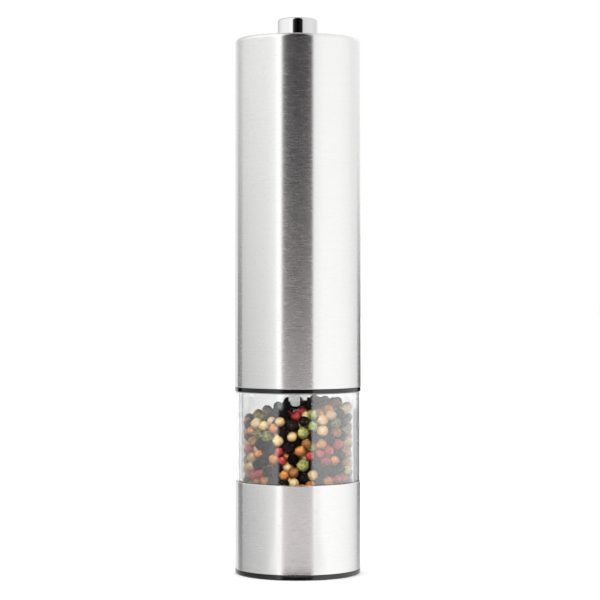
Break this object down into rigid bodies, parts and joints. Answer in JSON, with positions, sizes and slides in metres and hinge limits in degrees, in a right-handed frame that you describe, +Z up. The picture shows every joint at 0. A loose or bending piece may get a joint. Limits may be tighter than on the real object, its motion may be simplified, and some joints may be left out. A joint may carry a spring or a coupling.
{
  "type": "electric pepper mill",
  "caption": "Upright battery pepper mill with a brushed steel cover, a push button on top, a clear hopper of peppercorns and an adjustable ceramic burr at the foot.",
  "frame": {"origin": "centre of the foot ring's underside, on the mill's axis", "axes": "+Z up along the mill's axis, +X to the right and -Y towards the camera of the picture"},
  "size_m": [0.0504, 0.0504, 0.221],
  "materials": {
    "foot_ring": "satin black moulding",
    "lower_sleeve": "brushed round the axis",
    "grinder_housing": "satin black moulding",
    "outer_burr": "unglazed white ceramic",
    "hopper": "clear acrylic",
    "hopper_seal": "grey silicone",
    "shaft_bush": "sintered bronze",
    "peppercorns": "dry whole spice",
    "foot_screws": "zinc plated",
    "drive_shaft": "bright drawn bar",
    "shaft_clip": "spring steel",
    "burr_spring": "bright spring wire",
    "inner_burr": "unglazed white ceramic",
    "adjuster_knob": "satin black moulding",
    "adjuster_nut": "turned brass",
    "chassis": "satin black moulding",
    "gearbox_cover": "natural acetal",
    "gearbox_housing": "natural acetal",
    "output_bush": "sintered bronze",
    "gearbox_screws": "zinc plated",
    "motor_can": "plated steel can",
    "motor_end_cap": "cream moulding",
    "motor_magnets": "ferrite",
    "motor_brushes": "carbon",
    "motor_terminals": "stamped brass",
    "motor_screws": "zinc plated",
    "battery_case": "satin black moulding",
    "battery_1": "plain dark sleeve over a steel can",
    "battery_2": "plain dark sleeve over a steel can",
    "battery_3": "plain dark sleeve over a steel can",
    "battery_4": "plain dark sleeve over a steel can",
    "battery_springs": "bright spring wire",
    "lower_link": "nickel plated sheet",
    "upper_links": "nickel plated sheet",
    "motor_link": "nickel plated sheet",
    "post_strip": "nickel plated sheet",
    "motor_strip": "nickel plated sheet",
    "battery_cap": "satin black moulding",
    "cap_screw": "zinc plated",
    "output_carrier": "natural acetal",
    "drive_coupling": "bright hexagon bar",
    "middle_carrier": "natural acetal",
    "motor_core": "stacked steel laminations",
    "motor_coils": "enamelled copper",
    "motor_shaft": "ground steel",
    "commutator": "copper",
    "sun_pinion": "cut brass",
    "steel_cover": "brushed round the axis",
    "button_cup": "satin black moulding",
    "button_spring": "bright spring wire",
    "push_button": "polished plating",
    "contact_bridge": "stamped brass",
    "output_planet_1": "natural acetal",
    "output_planet_2": "natural acetal",
    "output_planet_3": "natural acetal",
    "motor_planet_1": "natural acetal",
    "motor_planet_2": "natural acetal",
    "motor_planet_3": "natural acetal"
  },
  "bodies": {
    "base": {"foot_ring": "foot_ring", "lower_sleeve": "lower_sleeve", "grinder_housing": "grinder_housing", "outer_burr": "outer_burr", "hopper": "hopper", "hopper_seal": "hopper_seal", "shaft_bush": "shaft_bush", "peppercorns": "peppercorns", "foot_screws": "foot_screws"},
    "shaft": {"drive_shaft": "drive_shaft", "shaft_clip": "shaft_clip", "burr_spring": "burr_spring"},
    "burr": {"inner_burr": "inner_burr"},
    "adjuster": {"adjuster_knob": "adjuster_knob", "adjuster_nut": "adjuster_nut"},
    "motor_unit": {"chassis": "chassis", "gearbox_cover": "gearbox_cover", "gearbox_housing": "gearbox_housing", "output_bush": "output_bush", "gearbox_screws": "gearbox_screws", "motor_can": "motor_can", "motor_end_cap": "motor_end_cap", "motor_magnets": "motor_magnets", "motor_brushes": "motor_brushes", "motor_terminals": "motor_terminals", "motor_screws": "motor_screws", "battery_case": "battery_case", "battery_1": "battery_1", "battery_2": "battery_2", "battery_3": "battery_3", "battery_4": "battery_4", "battery_springs": "battery_springs", "lower_link": "lower_link", "upper_links": "upper_links", "motor_link": "motor_link", "post_strip": "post_strip", "motor_strip": "motor_strip", "battery_cap": "battery_cap", "cap_screw": "cap_screw"},
    "output": {"output_carrier": "output_carrier", "drive_coupling": "drive_coupling"},
    "middle": {"middle_carrier": "middle_carrier"},
    "rotor": {"motor_core": "motor_core", "motor_coils": "motor_coils", "motor_shaft": "motor_shaft", "commutator": "commutator", "sun_pinion": "sun_pinion"},
    "cover": {"steel_cover": "steel_cover", "button_cup": "button_cup", "button_spring": "button_spring"},
    "button": {"push_button": "push_button", "contact_bridge": "contact_bridge"},
    "output_planet_1": {"output_planet_1": "output_planet_1"},
    "output_planet_2": {"output_planet_2": "output_planet_2"},
    "output_planet_3": {"output_planet_3": "output_planet_3"},
    "motor_planet_1": {"motor_planet_1": "motor_planet_1"},
    "motor_planet_2": {"motor_planet_2": "motor_planet_2"},
    "motor_planet_3": {"motor_planet_3": "motor_planet_3"}
  },
  "joints": [
    {"name": "unit_lift", "type": "slide", "parent": "base", "child": "motor_unit", "axis": [0, 0, 1], "range_m": [0, 0.04]},
    {"name": "cover_lift", "type": "slide", "parent": "motor_unit", "child": "cover", "axis": [0, 0, 1], "range_m": [0, 0.14]},
    {"name": "button_press", "type": "slide", "parent": "cover", "child": "button", "axis": [0, 0, -1], "range_m": [0, 0.0025], "stiffness_N_per_m": 800, "springref_m": -0.003, "deforming": ["button_spring"]},
    {"name": "motor_spin", "type": "hinge", "parent": "motor_unit", "child": "rotor", "pos_m": [0, 0, 0.09], "axis": [0, 0, 1], "continuous": true},
    {"name": "middle_spin", "type": "hinge", "parent": "motor_unit", "child": "middle", "pos_m": [0, 0, 0.09], "axis": [0, 0, 1], "continuous": true},
    {"name": "output_spin", "type": "hinge", "parent": "motor_unit", "child": "output", "pos_m": [0, 0, 0.09], "axis": [0, 0, 1], "continuous": true},
    {"name": "shaft_spin", "type": "hinge", "parent": "base", "child": "shaft", "pos_m": [0, 0, 0.09], "axis": [0, 0, 1], "continuous": true},
    {"name": "burr_lift", "type": "slide", "parent": "shaft", "child": "burr", "axis": [0, 0, 1], "range_m": [0, 0.00058], "deforming": ["burr_spring"]},
    {"name": "adjuster_turn", "type": "hinge", "parent": "burr", "child": "adjuster", "pos_m": [0, 0, 0.005], "axis": [0, 0, 1], "range_deg": [0, 300]},
    {"name": "output_planet_1_spin", "type": "hinge", "parent": "output", "child": "output_planet_1", "pos_m": [0.0105, 0, 0.09], "axis": [0, 0, 1], "continuous": true},
    {"name": "output_planet_2_spin", "type": "hinge", "parent": "output", "child": "output_planet_2", "pos_m": [-0.00525, 0.00909, 0.09], "axis": [0, 0, 1], "continuous": true},
    {"name": "output_planet_3_spin", "type": "hinge", "parent": "output", "child": "output_planet_3", "pos_m": [-0.00525, -0.00909, 0.09], "axis": [0, 0, 1], "continuous": true},
    {"name": "motor_planet_1_spin", "type": "hinge", "parent": "middle", "child": "motor_planet_1", "pos_m": [0.0105, 0, 0.09], "axis": [0, 0, 1], "continuous": true},
    {"name": "motor_planet_2_spin", "type": "hinge", "parent": "middle", "child": "motor_planet_2", "pos_m": [-0.00525, 0.00909, 0.09], "axis": [0, 0, 1], "continuous": true},
    {"name": "motor_planet_3_spin", "type": "hinge", "parent": "middle", "child": "motor_planet_3", "pos_m": [-0.00525, -0.00909, 0.09], "axis": [0, 0, 1], "continuous": true}
  ],
  "couplings": [
    {"joint": "middle_spin", "follows": "motor_spin", "ratio": 0.2},
    {"joint": "output_spin", "follows": "motor_spin", "ratio": 0.04},
    {"joint": "shaft_spin", "follows": "motor_spin", "ratio": 0.04},
    {"joint": "adjuster_turn", "follows": "burr_lift", "rad_per_m": 8976},
    {"joint": "output_planet_1_spin", "follows": "motor_spin", "ratio": -0.10667},
    {"joint": "output_planet_2_spin", "follows": "motor_spin", "ratio": -0.10667},
    {"joint": "output_planet_3_spin", "follows": "motor_spin", "ratio": -0.10667},
    {"joint": "motor_planet_1_spin", "follows": "motor_spin", "ratio": -0.53333},
    {"joint": "motor_planet_2_spin", "follows": "motor_spin", "ratio": -0.53333},
    {"joint": "motor_planet_3_spin", "follows": "motor_spin", "ratio": -0.53333}
  ]
}
